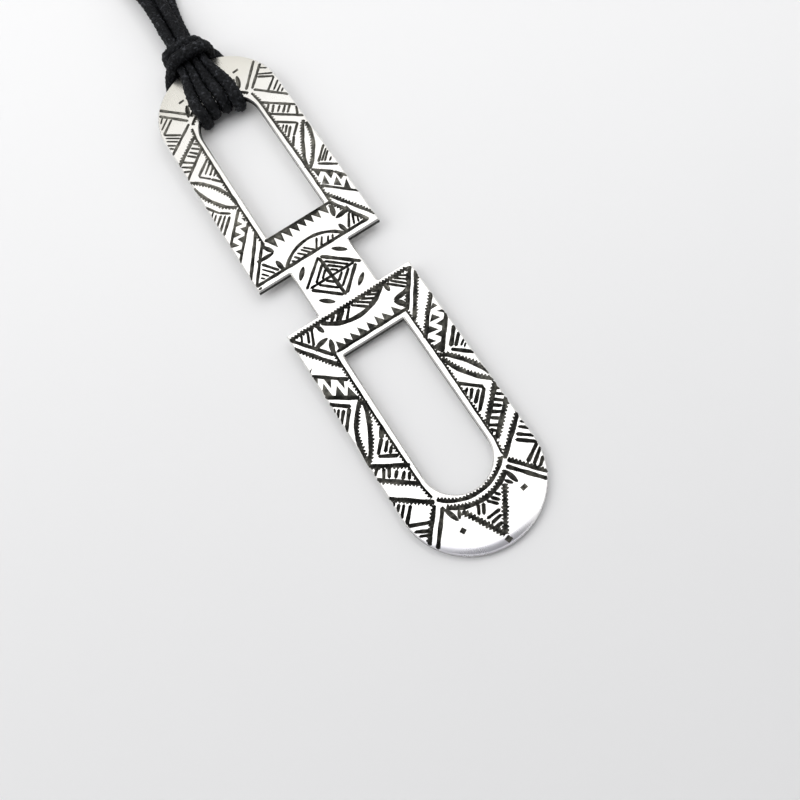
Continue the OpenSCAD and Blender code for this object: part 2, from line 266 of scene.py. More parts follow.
class Value:
    """One output among a finish's nodes. Arithmetic on it adds Math nodes."""

    def __init__(self, finish, socket):
        self.finish, self.socket = finish, socket

    def calc(self, operation, first, second=0.0):
        return self.finish.node("ShaderNodeMath", {"operation": operation}, {0: first, 1: second})

    def __add__(self, other):
        return self.calc("ADD", self, other)

    def __sub__(self, other):
        return self.calc("SUBTRACT", self, other)

    def __rsub__(self, other):
        return self.calc("SUBTRACT", other, self)

    def __mul__(self, other):
        return self.calc("MULTIPLY", self, other)

    def __truediv__(self, other):
        return self.calc("DIVIDE", self, other)

    def __pow__(self, other):
        return self.calc("POWER", self, other)

    __radd__ = __add__

    def __abs__(self):
        return self.calc("ABSOLUTE", self)

    def at_least(self, low):
        return self.calc("MAXIMUM", self, low)

    def step(self, low, high):
        """0 below low, 1 above high, smooth between."""
        return self.finish.node(
            "ShaderNodeMapRange", {"interpolation_type": "SMOOTHSTEP"},
            {"Value": self, "From Min": low, "From Max": high})


class Finish:
    """A named finish whose look is built up node by node."""

    def __init__(self, name):
        self.material = bpy.data.materials.new(name)
        self.material.use_nodes = True
        self.nodes = self.material.node_tree.nodes
        self.links = self.material.node_tree.links
        self.shader = self.nodes["Principled BSDF"]

    def node(self, kind, settings, sockets, output=0):
        """A new node with its settings and its sockets' values or links; gives one output."""
        made = self.nodes.new(kind)
        for name, setting in settings.items():
            setattr(made, name, setting)
        for name, given in sockets.items():
            if isinstance(given, Value):
                self.links.new(given.socket, made.inputs[name])
            else:
                made.inputs[name].default_value = given
        return Value(self, made.outputs[output])

    def place(self):
        return self.node("ShaderNodeTexCoord", {}, {}, "Object")

    def split(self, place):
        """x, y and z of a place, each as a value."""
        return [self.node("ShaderNodeSeparateXYZ", {}, {"Vector": place}, k) for k in range(3)]

    def noise(self, place, scale, detail, roughness=0.55):
        """Soft noise from 0 to 1, with about scale cells to a metre."""
        return self.node("ShaderNodeTexNoise", {},
                         {"Vector": place, "Scale": scale, "Detail": detail,
                          "Roughness": roughness}, "Fac")

    def blend(self, share, first, second):
        """The first colour where share is 0, the second where it is 1."""
        first, second = (c if isinstance(c, Value) else (*c, 1) for c in (first, second))
        return self.node("ShaderNodeMix", {"data_type": "RGBA"},
                         {0: share, 6: first, 7: second}, 2)

    def bump(self, height, distance, strength=1.0, under=None):
        """A relief of distance metres, laid over the one that is under it."""
        sockets = {"Height": height, "Distance": distance, "Strength": strength}
        if under is not None:
            sockets["Normal"] = under
        return self.node("ShaderNodeBump", {}, sockets)

    def finish_with(self, **given):
        """Sets or links the shader's own sockets, named with _ for a space."""
        for name, value in given.items():
            socket = self.shader.inputs[name.replace("_", " ")]
            if isinstance(value, Value):
                self.links.new(value.socket, socket)
            else:
                socket.default_value = value


# The black cord is painted darker in the hollows between the yarns, as painted shade, and paler on
# their crests, partly painted light and partly dusty wax.
HOLLOW_PAINTED_SHADE, CREST_WAX_AND_LIGHT = (0.0014, 0.0016, 0.002), (0.0165, 0.0178, 0.0205)
# painted highlight: the colour of small glints on the wax
PAINTED_WAX_GLINT = (0.06, 0.063, 0.072)

cotton = Finish("black_waxed_cotton")
place = cotton.place()
yarn = cotton.node("ShaderNodeAttribute", {"attribute_name": "yarn_height"}, {}, "Fac")
fibre = cotton.noise(place, 5200, 4, 0.7)
grain = cotton.noise(place, 2500, 3, 0.6)
lighter_where = cotton.noise(place, 420, 2)
# painted highlight: pale specks here and there stand for glints on the wax, where the cord is also
# a little glossier
glint_speck = cotton.noise(place, 1900, 3, 0.65).step(0.52, 0.68) * lighter_where.step(0.28, 0.55)
# painted shade and light by yarn height, mixed with a random grain in the tone
lit = yarn * 0.3 + grain.step(0.38, 0.68) * 0.7
cotton.finish_with(
    Base_Color=cotton.blend(glint_speck, cotton.blend(lit, HOLLOW_PAINTED_SHADE, CREST_WAX_AND_LIGHT), PAINTED_WAX_GLINT),
    Roughness=0.6 - glint_speck * 0.2,
    Specular_IOR_Level=0.13,
    Normal=cotton.bump(fibre * 0.4 + grain, 0.00025, 1.0))


def hitch_or_loop(y):
    """Rings stand closer together in the hitch than round the neck."""
    return HITCH_STEP if y < HITCH_END_Y else LOOP_STEP


near_rows = (lane(-1, LANE_OFFSET)[::-1] + NEAR_LEFT_START[::-1] + NEAR_HITCH
             + NEAR_RIGHT_START + lane(1, LANE_OFFSET))
near_cord = braided_tube("near_cord", near_rows, hitch_or_loop)
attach(near_cord, "root")
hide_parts("near_cord_hitch", "near_cord_left", "near_cord_right")

far_rows = (lane(-1, -LANE_OFFSET)[::-1] + FAR_LEFT_START[::-1] + FAR_HITCH
            + FAR_RIGHT_START + lane(1, -LANE_OFFSET))
far_cord = braided_tube("far_cord", far_rows, hitch_or_loop)
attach(far_cord, "root")
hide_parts("far_cord_hitch", "far_cord_left", "far_cord_right")

# The back knot
# A barrel knot of the same cord closes the loop at the nape. Its turns go round the
# strands that lie side by side inside it, and its two cut ends lie out behind it.
KNOT_Y = 333
KNOT_TURNS = 5
TURN_PITCH = 2.02       # mm from one turn to the next
TURN_R = 1.9            # mm from a strand inside to the middle of the turn round it
TURN_ROWS = 16          # rows to one turn
TURN_SQUARE = 3         # how soon a turn crosses from one strand to the other
KNOT_STEP = 0.25        # mm between rings
# The two cut ends: distance from the knot's middle, y, z.
FIRST_END = [(-4.1, 349.5, CORD_R), (-4.1, 345, CORD_R), (-4.1, 341, CORD_R)]
LAST_END = [(4.7, 336.2, 3.6), (4.4, 338.6, 1.9), (4.1, 341.5, 0.98), (4.1, 345, CORD_R),
            (4.1, 349.5, CORD_R)]


def knot_rows():
    """The way of the knot's cord: one cut end, the turns, and the other cut end."""
    turns = KNOT_TURNS + 0.5
    half_width = TURN_PITCH * KNOT_TURNS / 2
    middle_z = CORD_R + TURN_R
    rows = [(LOOP_MID_X + across, y, z) for across, y, z in FIRST_END]
    for i in range(round(turns * TURN_ROWS) + 1):
        turn = i / TURN_ROWS
        sine, cosine = math.sin(2 * math.pi * turn), math.cos(2 * math.pi * turn)
        to_strand = math.copysign(min(1, abs(sine) * TURN_SQUARE), sine) * LANE_OFFSET
        rows.append((LOOP_MID_X - half_width + 2 * half_width * turn / turns,
                     KNOT_Y - to_strand - TURN_R * sine, middle_z - TURN_R * cosine))
    return rows + [(LOOP_MID_X + across, y, z) for across, y, z in LAST_END]


back_knot = braided_tube("barrel_knot", knot_rows(), lambda y: KNOT_STEP)
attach(back_knot, "root")
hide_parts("back_knot")

# The silver plate
# One sheet of silver, 1 mm thick, sawn to two openwork arches end to end and filed
# bright. The pattern is cut into its face by hand with a graver, line by line, and
# the cuts are left dark so that it stands out.
PLATE_T = 1.0
LOWER_TIP_Y = -45.1
LEAN = math.radians(1.45)  # the upper rim lies on the cords that pass under it
LINE_W = 0.48           # mm, a main line across its top
LINE_DEPTH = 0.17       # mm, before BOLD or FINE
BOLD_BELOW = 4.6        # mm, up to which the lines were cut more heavily than further up
BOLD, FINE = 1.32, 1.1
OVERRUN = 0.2           # mm that the graver runs on past the end of a line
LINE_POINT = 0.2        # mm over which a line runs out to a point
POINT_ROUND = 0.6       # 1 for straight sides to that point, less for bulging ones
WAVER, WAVER_RATE = 0.1, 2.1  # share of a line's width, radians a millimetre
TREMBLE = 0.12          # share of a line's width, at random
TOOTH = 0.24            # mm, a little tooth on the side of a line
TOOTH_LEAST, TOOTH_SPREAD = 0.6, 0.7  # shares of TOOTH
TOOTH_SHAPE = (0, 1, 0.8)  # how far three samples in a row stand out
TOOTHED_STEP = 0.165    # mm, a third of the distance from tooth to tooth
PLAIN_STEP = 0.4        # mm between samples of a line without teeth
LEAF_ROUND = 0.75       # less than 1 for a fuller leaf cut
LEAF_STEEP, LEAF_MORE = 0.5, 0.05  # depth over half width, and mm more
LEAST_DEPTH = 0.02      # mm, so that a cutter's sides stay finite
CHIP_DEPTH = 0.2
CHIP_LOW = (0.22, 0.39, 0.39)  # where a chip is deepest, as shares of its corners
OUTLINE_STEP, CURVE_STEP = 0.25, 0.3  # mm
ABOVE = 0.12            # mm that a cutter stands above the face
WIDENS, SPARE = 1.7, 0.03  # a line's cutter is so much wider at its top, and mm more
CHIP_REACH, PUNCH_REACH = 0.12, 0.4  # mm round their outlines that a cutter fills
KEEP_APART = 0.3        # mm between the cutters of one pass
WELD = 0.00005          # mm between corners that the cutting left in one place

rng = random.Random(9)      # other seeds can leave edges with four faces in the mesh
# A cut's outline is its points on the face, and reach is how far it goes round them.
Cut = namedtuple("Cut", "outline reach vertices faces")
cuts = []


def even_points(points, spacing):
    """Distances and places of points evenly spaced along a broken line."""
    points = np.array(points, float)
    length = lengths_along(points)
    count = max(2, round(length[-1] / spacing))
    stops = np.linspace(0, length[-1], count + 1)
    return stops, np.column_stack([np.interp(stops, length, points[:, k]) for k in range(2)])


def groove(points, left, right, depth):
    """A pointed V cut along the points; left, right and depth are lists, one for each."""
    points = np.asarray(points)
    heading = np.gradient(points, axis=0)
    heading /= np.linalg.norm(heading, axis=1)[:, None]
    normal = np.column_stack([-heading[:, 1], heading[:, 0]])
    vertices = [(*points[0], ABOVE)]
    for i in range(1, len(points) - 1):
        spread = 1 + ABOVE / depth[i]
        vertices.append((*points[i], -depth[i]))
        vertices.append((*(points[i] + normal[i] * left[i] * spread), ABOVE))
        vertices.append((*(points[i] - normal[i] * right[i] * spread), ABOVE))
    vertices.append((*points[-1], ABOVE))
    end = len(vertices) - 1
    faces = [(0, 3, 2), (0, 2, 1), (0, 1, 3)]
    # low is at the bottom of the V, one and two are at its top
    for low in range(1, end - 3, 3):
        one, two = low + 1, low + 2
        faces += [(one, two, two + 3, one + 3), (low, one, one + 3, low + 3),
                  (two, low, low + 3, two + 3)]
    low, one, two = end - 3, end - 2, end - 1
    faces += [(end, one, two), (end, low, one), (end, two, low)]
    cuts.append(Cut(points, max(max(left), max(right)) * WIDENS + SPARE, vertices, faces))


def line(points, width=LINE_W, teeth=0, depth=LINE_DEPTH, overrun=OVERRUN):
    """A graver line through the points. teeth is 1 for little teeth on its left, -1 on its
    right, 2 on both, 0 for none."""
    points = [np.array(p, float) for p in points]
    bold = BOLD if points[0][1] < BOLD_BELOW else FINE
    width, depth = width * bold, depth * bold
    for end, inner in ((0, 1), (-1, -2)):
        outward = points[end] - points[inner]
        points[end] = points[end] + outward / np.linalg.norm(outward) * overrun
    stops, path = even_points(points, TOOTHED_STEP if teeth else PLAIN_STEP)
    total = stops[-1]
    left, right, deep = [], [], []
    phase = rng.random() * 6
    for i, s in enumerate(stops):
        fade = 0
        if 0 < s < total:
            fade = min(1, s / LINE_POINT, (total - s) / LINE_POINT) ** POINT_ROUND
        uneven = 1 + WAVER * math.sin(s * WAVER_RATE + phase) + TREMBLE * (rng.random() - 0.5)
        half = width / 2 * fade * uneven
        size = TOOTH * (TOOTH_LEAST + TOOTH_SPREAD * rng.random())
        out = size * fade * TOOTH_SHAPE[i % 3]
        left.append(half + (out if teeth in (1, 2) else 0))
        right.append(half + (out if teeth in (-1, 2) else 0))
        deep.append(max(depth * fade, LEAST_DEPTH))
    groove(path, left, right, deep)


def leaf_cut(start, end, width, bow=0.0):
    """A cut that swells in the middle and is pointed at both ends."""
    start, end = np.array(start, dtype=float), np.array(end, dtype=float)
    across = np.array([-(end - start)[1], (end - start)[0]]) / np.linalg.norm(end - start)
    steps = np.linspace(0, 1, 9)
    path = [start + (end - start) * t + across * bow * math.sin(math.pi * t) for t in steps]
    half = [width / 2 * math.sin(math.pi * t) ** LEAF_ROUND if 0 < t < 1 else 0
            for t in steps]
    deep = [max(LEAST_DEPTH, LEAF_STEEP * h) + LEAF_MORE for h in half]
    groove(path, half, half, deep)


def chip(tip, base_a, base_b):
    """A three-cornered chip: sharp at the tip and deepest near the base."""
    corners = [np.array(p, float) for p in (tip, base_a, base_b)]
    low = sum(share * corner for share, corner in zip(CHIP_LOW, corners))
    spread = 1 + ABOVE / CHIP_DEPTH
    top = [low + (c - low) * spread for c in corners]
    if np.cross(top[1] - top[0], top[2] - top[0]) < 0:
        top[1], top[2] = top[2], top[1]
    vertices = [(*p, ABOVE) for p in top] + [(*low, -CHIP_DEPTH)]
    faces = [(0, 1, 2), (0, 3, 1), (1, 3, 2), (2, 3, 0)]
    outline = even_points(top + [top[0]], OUTLINE_STEP)[1]
    cuts.append(Cut(outline, CHIP_REACH, vertices, faces))


def wedge(base, tip, width):
    """A chip given by the middle of its base, its tip and its width at the base."""
    base, tip = np.array(base, dtype=float), np.array(tip, dtype=float)
    across = np.array([-(tip - base)[1], (tip - base)[0]]) / np.linalg.norm(tip - base)
    chip(tip, base + across * width / 2, base - across * width / 2)


def punch(x, y, size, turn, flat):
    """A four-cornered punch mark, size across, turned by turn degrees, flat high over wide."""
    to_corner = size / math.sqrt(2) * (1 + ABOVE / CHIP_DEPTH)
    cosine, sine = math.cos(math.radians(turn)), math.sin(math.radians(turn))
    corners = []
    for k in range(4):
        angle = math.radians(45 + 90 * k)
        across, up = to_corner * math.cos(angle), flat * to_corner * math.sin(angle)
        corners.append((x + across * cosine - up * sine, y + across * sine + up * cosine, ABOVE))
    vertices = corners + [(x, y, -CHIP_DEPTH)]
    faces = [(0, 1, 2, 3), (1, 0, 4), (2, 1, 4), (3, 2, 4), (0, 3, 4)]
    cuts.append(Cut(np.array([c[:2] for c in corners]), PUNCH_REACH, vertices, faces))


def arc(a, middle, b, count=24):
    """Points on the circle that goes from a through middle to b."""
    (ax, ay), (bx, by), (cx, cy) = a, middle, b
    a2, b2, c2 = ax**2 + ay**2, bx**2 + by**2, cx**2 + cy**2
    divisor = 2 * (ax * (by - cy) + bx * (cy - ay) + cx * (ay - by))
    centre_x = (a2 * (by - cy) + b2 * (cy - ay) + c2 * (ay - by)) / divisor
    centre_y = (a2 * (cx - bx) + b2 * (ax - cx) + c2 * (bx - ax)) / divisor
    radius = math.hypot(ax - centre_x, ay - centre_y)
    first, halfway, last = (math.atan2(y - centre_y, x - centre_x) for x, y in (a, middle, b))
    sweep = (last - first) % (2 * math.pi)
    if (halfway - first + math.pi) % (2 * math.pi) < math.pi:
        sweep -= 2 * math.pi
    angles = [first + sweep * t for t in np.linspace(0, 1, count)]
    return [(centre_x + radius * math.cos(q), centre_y + radius * math.sin(q)) for q in angles]


def through(points):
    """A smooth curve through a few points of the face."""
    _, route = smooth_route([(x, y, 0) for x, y in points], lambda y: CURVE_STEP)
    return [(p[0], p[1]) for p in route]


# The pattern of a leg, told by distance from the plate's long middle line and from its
# short one, in millimetres. Each leg was cut by eye, so the same bands, leaf and squares
# differ a little from leg to leg. A leg is named by its side and its end, 1 for +X or +Y.
# A line has its two ends, its width and, where it has them, its teeth.
LEG_LINES = {(1, -1): [
    (9.6, 5, 5.9, 10.4, 0.44, 1), (10.2, 5.7, 5.9, 12.2, 0.44, -1),
    (10.3, 9.8, 7.9, 12.55, 0.42, 1), (7.9, 12.55, 5.75, 15.5, 0.42, 1),
    (5.5, 5.25, 7.6, 7.35, 0.32), (6.2, 5.2, 8.1, 7.1, 0.32), (6.9, 5.2, 8.5, 6.6, 0.3),
    (7.6, 5.2, 8.75, 6, 0.3), (10.2, 13.65, 6.4, 18.5, 0.52), (9.95, 16, 7.85, 18.45, 0.5),
    (9.95, 17.2, 8.4, 18.8, 0.38), (9.95, 18.45, 9, 19.15, 0.3), (9.85, 19.05, 9.25, 19.6, 0.24),
    (7.65, 18.75, 10.1, 20.95, 0.44), (5.8, 23.4, 8.35, 25.75, 0.4),
    (6.55, 24.6, 5.85, 25.2, 0.34), (7, 25, 5.95, 26.3, 0.42), (7.65, 25.6, 6.1, 27.15, 0.4),
    (8.35, 25.85, 6, 28.35, 0.44), (10.1, 25.95, 5.9, 30.35, 0.48, 1),
    (10.15, 28.5, 5.9, 32.6, 0.48, -1), (9.45, 26.65, 10.1, 27.15, 0.4),
    (9, 27.35, 10.1, 28.2, 0.4), (8.4, 27.9, 9.55, 28.9, 0.4), (7.85, 28.5, 8.95, 29.35, 0.4),
    (7.25, 29.2, 8.45, 30, 0.4), (6.65, 29.8, 7.7, 30.6, 0.4), (5.9, 30.5, 7.05, 31.3, 0.4),
    (5.8, 31.15, 6.5, 31.9, 0.38), (10.2, 31.1, 5.25, 35.4, 0.48, 1),
    (9.5, 32.3, 10.2, 32.9, 0.36), (8.95, 32.8, 10.2, 33.9, 0.38), (8.2, 33.5, 10.1, 35.05, 0.4),
    (7.7, 34.1, 9.95, 35.95, 0.42), (9.85, 35.95, 7.3, 37.5, 0.42),
    (9.95, 36.6, 7.8, 38.2, 0.38), (9.5, 37.85, 8.3, 38.85, 0.38),
    (5.45, 35.85, 8.75, 39.9, 0.42, -1), (4.75, 36.35, 8.25, 40.7, 0.46)
], (-1, -1): [
    (9.75, 5.1, 5.85, 10.4, 0.44), (10.3, 6, 5.8, 12.3, 0.44, -1), (10.3, 11.05, 6, 14.6, 0.42),
    (8.15, 5.2, 8.7, 6.3, 0.3), (7.2, 5.2, 7.9, 6.95, 0.34), (6.55, 5.2, 7.55, 7.65, 0.34),
    (10.3, 14.8, 6.1, 17.75, 0.5), (10.15, 16.1, 7.7, 18.15, 0.46),
    (9.7, 17.1, 10.15, 17.8, 0.36), (9.25, 17.5, 10.15, 18.6, 0.36),
    (8.75, 17.95, 10.15, 19.7, 0.38), (8, 18.2, 10.15, 20.95, 0.44),
    (5.85, 22.9, 6.6, 24.3, 0.5), (6.55, 24.2, 8.15, 25.95, 0.42), (6.05, 24.85, 7.2, 26.2, 0.4),
    (6, 25.8, 6.75, 26.7, 0.38), (8.25, 26.1, 5.9, 27.5, 0.44),
    (10.1, 26.5, 5.4, 29.35, 0.46, -1), (10.1, 28.65, 5.8, 32.05, 0.48, -1),
    (9.1, 27.35, 10.05, 28.2, 0.4), (8.45, 27.9, 9.2, 29.15, 0.38),
    (7.8, 28.2, 8.55, 29.45, 0.38), (7.1, 29, 7.9, 29.95, 0.4), (6.35, 29.65, 7.2, 30.6, 0.42),
    (5.85, 30.1, 6.5, 31.1, 0.38), (10.1, 31.65, 5.4, 35.3, 0.48, -1),
    (9.65, 32.45, 10.05, 32.95, 0.34), (9.2, 33, 10.05, 33.9, 0.36),
    (8.7, 33.4, 10.05, 34.9, 0.38), (8.05, 33.95, 9.85, 35.9, 0.42),
    (9.85, 36.1, 7.1, 37.3, 0.42), (9.55, 37.2, 7.7, 38.2, 0.4), (9.35, 38, 8.1, 38.6, 0.36),
    (5.6, 35.75, 8.8, 39.65, 0.42, -1), (4.75, 36.4, 8.25, 40.75, 0.46)
], (1, 1): [
    (8.75, 5, 5.7, 10.6, 0.5, 1), (10.1, 5.1, 5.85, 12.1, 0.44, -1), (10.2, 9.65, 5.9, 14, 0.4),
    (5.75, 5.4, 7, 7.6, 0.4), (6.65, 5.4, 7.45, 7.35, 0.36), (7.4, 5.4, 7.85, 6.8, 0.32),
    (10, 13, 8.7, 14.85, 0.42), (8.7, 14.85, 6.1, 17.2, 0.42), (9.9, 15.55, 7.4, 17.45, 0.42),
    (9.05, 16.75, 9.7, 17.35, 0.34), (8.45, 17.15, 9.8, 18.6, 0.34),
    (8.1, 17.45, 9.75, 19.05, 0.34), (7.6, 17.6, 9.8, 19.85, 0.38), (5.85, 22.3, 6.9, 23.9, 0.4),
    (6.85, 23.85, 8.55, 25.65, 0.38), (6, 24.05, 7.35, 25.75, 0.38),
    (6.05, 25.05, 7, 26.25, 0.36), (6, 25.9, 6.65, 26.65, 0.32), (8.45, 25.6, 5.85, 27.75, 0.42),
    (9.95, 26.1, 5.7, 29.65, 0.42), (9.95, 28.55, 5.8, 32.15, 0.42),
    (9.2, 26.85, 9.85, 28.45, 0.4), (8.1, 28.05, 9.1, 29.15, 0.38),
    (7.55, 28.5, 8.5, 29.55, 0.38), (6.9, 29.05, 7.85, 30.05, 0.38),
    (6.2, 29.5, 7.1, 30.7, 0.38), (5.75, 30.35, 6.6, 31.35, 0.36), (9.95, 30.9, 5.9, 35.1, 0.42),
    (9.2, 32, 9.85, 32.55, 0.3), (8.7, 32.45, 9.85, 33.35, 0.32), (8.35, 33, 9.9, 34.35, 0.32),
    (7.6, 33.45, 9.65, 35.25, 0.36), (9.65, 35.3, 7.5, 36.8, 0.38),
    (9.85, 35.9, 7.7, 37.25, 0.3), (9.55, 37.3, 8.55, 38.1, 0.28),
    (5.75, 35.3, 9.05, 38.75, 0.42), (4.9, 35.7, 8.5, 39.85, 0.42)
], (-1, 1): [
    (9.85, 5, 5.8, 10.8, 0.44), (10.3, 6.1, 5.8, 12.8, 0.5), (10.3, 9.5, 5.8, 15.1, 0.4),
    (7.5, 7.8, 5.85, 5.45, 0.42), (7.9, 7.1, 6.55, 5.4, 0.32), (8.3, 6.5, 7.45, 5.4, 0.3),
    (8.7, 6, 8.15, 5.4, 0.28), (10.1, 12.8, 5.95, 17.9, 0.42), (9.95, 15.15, 7.6, 17.6, 0.44),
    (10.05, 16.05, 8.1, 18.1, 0.36), (10.05, 17.1, 8.6, 18.5, 0.36),
    (10, 18.1, 9.15, 19.05, 0.32), (10.05, 18.95, 9.3, 19.7, 0.3), (7.3, 17.85, 8.7, 19, 0.38),
    (8.65, 18.9, 10.05, 21.15, 0.38), (5.7, 23.25, 7, 24.9, 0.36),
    (6.95, 24.85, 8.35, 26.35, 0.34), (6.05, 24.5, 5.6, 24.65, 0.3),
    (6.45, 25.05, 5.7, 25.75, 0.32), (6.9, 25.5, 5.7, 26.7, 0.36), (7.4, 26.1, 5.8, 27.6, 0.32),
    (8.35, 26.4, 5.75, 28.5, 0.42), (10.1, 26.8, 5.8, 30.5, 0.44),
    (10, 29.75, 5.7, 33.1, 0.44, -1), (8.9, 28, 9.95, 28.55, 0.36),
    (8.4, 28.4, 9.8, 29.55, 0.36), (7.8, 28.95, 9.3, 30.25, 0.36), (7, 29.6, 8.2, 30.85, 0.36),
    (6.55, 30, 7.6, 31.2, 0.36), (5.95, 30.6, 7.05, 31.65, 0.36), (5.5, 31.3, 6.45, 32.2, 0.36),
    (10, 32.2, 5.25, 35.8, 0.44), (9.15, 33.05, 9.85, 33.7, 0.3), (8.7, 33.45, 9.85, 34.35, 0.3),
    (8.1, 33.9, 9.65, 35.1, 0.3), (7.6, 34.25, 9.5, 35.7, 0.3), (7.15, 34.65, 9.45, 36.35, 0.38),
    (9.45, 36.35, 7.15, 38.2, 0.38), (9.35, 37.35, 7.6, 38.8, 0.28),
    (8.95, 38.45, 8.2, 39.4, 0.28), (5.1, 36.3, 8.5, 39.95, 0.44), (4.3, 37.1, 8.05, 40.95, 0.44)
]}
# the two rows that leave a bright zigzag: tip, then two corners of the base
LEG_CHIPS = {(1, -1): [
    (9.65, 12.3, 9.3, 11.5, 8.5, 12.25), (9.05, 14, 8.3, 12.9, 7.4, 13.8),
    (7.9, 15.4, 7.1, 14.2, 6.3, 15.1), (6.75, 16.7, 6.1, 15.7, 5.6, 16.4),
    (9, 12.85, 10.2, 13.2, 10, 14), (7.95, 14.45, 9.5, 14.4, 8.8, 15.6),
    (7, 15.7, 8.7, 15.7, 7.8, 16.9), (5.6, 17, 7.4, 17, 6.4, 18.5)
], (-1, -1): [
    (9.25, 10.25, 10.3, 10.6, 10.3, 11.2), (9.95, 13, 9.3, 11.8, 10.2, 11.3),
    (8.65, 14.45, 7.85, 12.9, 8.85, 12.3), (7.15, 15.5, 6.5, 14.1, 7.4, 13.4),
    (9.15, 13.1, 9, 15.4, 10.3, 14.6), (7.8, 14.4, 7.6, 16.5, 8.8, 15.8),
    (6.6, 15.35, 6.2, 17.4, 7.5, 16.75)
], (1, 1): [
    (9.6, 12.8, 8.5, 11.6, 9.3, 10.8), (8.6, 13.95, 7.5, 12.9, 8.45, 12),
    (7.25, 15.2, 6.2, 14.1, 7.1, 13.3), (8.85, 13, 8.75, 14.9, 9.85, 13.5),
    (7.75, 14, 7.55, 15.9, 8.8, 14.9), (6.35, 15.4, 6.25, 17, 7.35, 16.2)
], (-1, 1): [
    (9.65, 11.95, 9.3, 11, 8.7, 11.7), (8.5, 13.55, 8.15, 12.5, 7.3, 13.4),
    (7.35, 14.85, 7.1, 13.85, 6.4, 14.6), (6.4, 16.35, 6.2, 15.3, 5.8, 15.9),
    (8.7, 12.35, 10.1, 12.8, 9.4, 13.7), (7.65, 13.85, 9, 14, 8.3, 14.9),
    (6.65, 15.25, 7.9, 15.45, 7.2, 16.35)
]}
# outer side, inner side, and the side of their teeth
LEAF_CURVES = {(1, -1): (
    [(6, 18.7), (6.8, 19.2), (7.6, 20.1), (8.4, 21.2), (9.1, 22.3), (9.7, 23.5), (10.1, 24.6)],
    [(5.95, 19.3), (6.3, 20.3), (6.7, 21.3), (7.3, 22.4), (8, 23.4), (8.9, 24.5), (10.05, 25.6)],
    -1
), (-1, -1): (
    [(6.2, 18), (7.3, 19.1), (8.1, 20.2), (8.8, 21.3), (9.3, 22.6), (9.6, 24), (9.85, 25.4),
     (10, 26.4)],
    [(5.95, 18.5), (6.3, 19.8), (6.8, 21.3), (7.4, 22.5), (8.1, 23.9), (8.9, 25.2), (9.75, 26.15)],
    1
), (1, 1): (
    [(6.1, 17.4), (6.8, 18.1), (7.5, 19), (8.2, 20.1), (8.8, 21.2), (9.2, 22.3), (9.5, 23.6),
     (9.6, 24.8)],
    [(5.9, 17.9), (6.2, 19.2), (6.8, 20.6), (7.4, 21.9), (8.1, 23.2), (8.8, 24.5), (9.45, 25.35)],
    1
), (-1, 1): (
    [(6.1, 18.3), (7, 19), (7.8, 19.9), (8.4, 20.9), (9, 22), (9.5, 23.3), (9.95, 25)],
    [(5.75, 19), (5.85, 20.3), (6.3, 21.5), (6.9, 22.8), (7.6, 23.9), (8.5, 25), (9.2, 25.7),
     (10, 26.3)],
    -1
)}
# the leaf at the hem and two petals beside it: ends, width, bow
CORNER_LEAVES = {(1, -1): [
    ((5.3, 5), (5.4, 6.7), 0.7, 0), ((7.7, 7.75), (4.95, 8.05), 0.85, -0.1),
    ((6.3, 10), (4.95, 8.1), 0.95, 0.1)
], (-1, -1): [
    ((5.8, 5), (5.3, 6.8), 0.7, 0), ((7.75, 8.2), (5.15, 7.65), 0.8, 0.1),
    ((5.85, 10.3), (5.1, 7.85), 0.85, 0)
], (1, 1): [
    ((5.3, 5), (4.8, 7), 0.75, 0), ((7.4, 8.4), (4.8, 7.9), 0.85, 0.1),
    ((5.5, 10.3), (4.95, 8.1), 0.85, 0)
], (-1, 1): [
    ((5.25, 5), (5.55, 7.2), 0.8, 0), ((7.9, 8.35), (4.95, 8.4), 0.7, 0),
    ((6.05, 10.2), (5, 8.35), 0.75, 0)
]}
WINDOW_BORDER = [(5.7, 10.4), (5.75, 20), (5.65, 28), (5.6, 32.5), (5.3, 34.6)]
BORDER_W = {(1, -1): 0.2, (-1, -1): 0.25, (1, 1): 0.32, (-1, 1): 0.3}
LEAF_LINE_W = 0.46

for side, end in ((-1, -1), (1, 1), (1, -1), (-1, 1)):
    mirrored = side * end < 0

    def on_leg(points):
        return [(side * u, end * v) for u, v in points]

    def flipped(teeth):
        return -teeth if mirrored else teeth

    for u0, v0, u1, v1, width, *teeth in LEG_LINES[side, end]:
        line(on_leg([(u0, v0), (u1, v1)]), width, *map(flipped, teeth))
    line(on_leg(WINDOW_BORDER), BORDER_W[side, end], flipped(-1))
    outer, inner, teeth = LEAF_CURVES[side, end]
    line(on_leg(through(outer)), LEAF_LINE_W, flipped(teeth))
    line(on_leg(through(inner)), LEAF_LINE_W, flipped(teeth))
    for corners in LEG_CHIPS[side, end]:
        chip(*on_leg(zip(corners[::2], corners[1::2])))
    for start, stop, width, bow in CORNER_LEAVES[side, end]:
        leaf_cut(*on_leg([start, stop]), width, bow * side * end)
        wedge(*on_leg([start, stop]), width)

